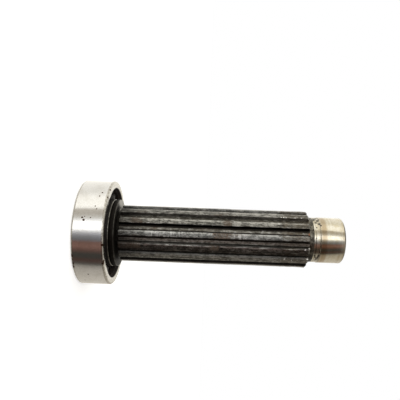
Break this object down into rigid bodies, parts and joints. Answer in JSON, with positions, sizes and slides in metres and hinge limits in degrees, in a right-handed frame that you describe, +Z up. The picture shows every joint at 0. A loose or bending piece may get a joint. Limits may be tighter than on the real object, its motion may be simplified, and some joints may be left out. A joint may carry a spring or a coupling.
{
  "type": "transmission shaft",
  "caption": "Splined steel transmission shaft with a thrust collar, a ball bearing fitted on one end and a ground journal on the other.",
  "frame": {"origin": "centre of the bearing's end face, in the surface that the shaft stands on", "axes": "+Z up along the shaft's axis, from the bearing to the journal; +X through the middle of one spline groove and one ball, -Y through the middle of one tooth"},
  "size_m": [0.08, 0.08, 0.1982],
  "materials": {
    "spline_steel": "oiled and worn, journal ground bright",
    "outer_ring_steel": "ground, with light rust stains",
    "inner_ring_steel": "ground, dark with old oil",
    "ball_steel": "polished",
    "cage_steel": "pressed sheet, dark with old oil",
    "rivet_steel": "plain, dark with old oil"
  },
  "bodies": {
    "bearing_outer": {"bearing_outer_ring": "outer_ring_steel"},
    "rotor": {"shaft": "spline_steel", "bearing_inner_ring": "inner_ring_steel"},
    "cage": {"cage_half_upper": "cage_steel", "cage_half_lower": "cage_steel", "cage_rivet_1": "rivet_steel", "cage_rivet_2": "rivet_steel", "cage_rivet_3": "rivet_steel", "cage_rivet_4": "rivet_steel", "cage_rivet_5": "rivet_steel", "cage_rivet_6": "rivet_steel", "cage_rivet_7": "rivet_steel", "cage_rivet_8": "rivet_steel", "cage_rivet_9": "rivet_steel"},
    "ball_1": {"ball_1": "ball_steel"},
    "ball_2": {"ball_2": "ball_steel"},
    "ball_3": {"ball_3": "ball_steel"},
    "ball_4": {"ball_4": "ball_steel"},
    "ball_5": {"ball_5": "ball_steel"},
    "ball_6": {"ball_6": "ball_steel"},
    "ball_7": {"ball_7": "ball_steel"},
    "ball_8": {"ball_8": "ball_steel"},
    "ball_9": {"ball_9": "ball_steel"}
  },
  "joints": [
    {"name": "shaft_spin", "type": "hinge", "parent": "bearing_outer", "child": "rotor", "pos_m": [0, 0, 0.0115], "axis": [0, 0, 1], "continuous": true},
    {"name": "cage_spin", "type": "hinge", "parent": "bearing_outer", "child": "cage", "pos_m": [0, 0, 0.0115], "axis": [0, 0, 1], "continuous": true},
    {"name": "ball_1_spin", "type": "hinge", "parent": "cage", "child": "ball_1", "pos_m": [0.03, 0, 0.0115], "axis": [0, 0, 1], "continuous": true},
    {"name": "ball_2_spin", "type": "hinge", "parent": "cage", "child": "ball_2", "pos_m": [0.02298, 0.01928, 0.0115], "axis": [0, 0, 1], "continuous": true},
    {"name": "ball_3_spin", "type": "hinge", "parent": "cage", "child": "ball_3", "pos_m": [0.00521, 0.02954, 0.0115], "axis": [0, 0, 1], "continuous": true},
    {"name": "ball_4_spin", "type": "hinge", "parent": "cage", "child": "ball_4", "pos_m": [-0.015, 0.02598, 0.0115], "axis": [0, 0, 1], "continuous": true},
    {"name": "ball_5_spin", "type": "hinge", "parent": "cage", "child": "ball_5", "pos_m": [-0.02819, 0.01026, 0.0115], "axis": [0, 0, 1], "continuous": true},
    {"name": "ball_6_spin", "type": "hinge", "parent": "cage", "child": "ball_6", "pos_m": [-0.02819, -0.01026, 0.0115], "axis": [0, 0, 1], "continuous": true},
    {"name": "ball_7_spin", "type": "hinge", "parent": "cage", "child": "ball_7", "pos_m": [-0.015, -0.02598, 0.0115], "axis": [0, 0, 1], "continuous": true},
    {"name": "ball_8_spin", "type": "hinge", "parent": "cage", "child": "ball_8", "pos_m": [0.00521, -0.02954, 0.0115], "axis": [0, 0, 1], "continuous": true},
    {"name": "ball_9_spin", "type": "hinge", "parent": "cage", "child": "ball_9", "pos_m": [0.02298, -0.01928, 0.0115], "axis": [0, 0, 1], "continuous": true}
  ],
  "couplings": [
    {"joint": "cage_spin", "follows": "shaft_spin", "ratio": 0.3975},
    {"joint": "ball_1_spin", "follows": "shaft_spin", "ratio": -2.3365},
    {"joint": "ball_2_spin", "follows": "shaft_spin", "ratio": -2.3365},
    {"joint": "ball_3_spin", "follows": "shaft_spin", "ratio": -2.3365},
    {"joint": "ball_4_spin", "follows": "shaft_spin", "ratio": -2.3365},
    {"joint": "ball_5_spin", "follows": "shaft_spin", "ratio": -2.3365},
    {"joint": "ball_6_spin", "follows": "shaft_spin", "ratio": -2.3365},
    {"joint": "ball_7_spin", "follows": "shaft_spin", "ratio": -2.3365},
    {"joint": "ball_8_spin", "follows": "shaft_spin", "ratio": -2.3365},
    {"joint": "ball_9_spin", "follows": "shaft_spin", "ratio": -2.3365}
  ]
}
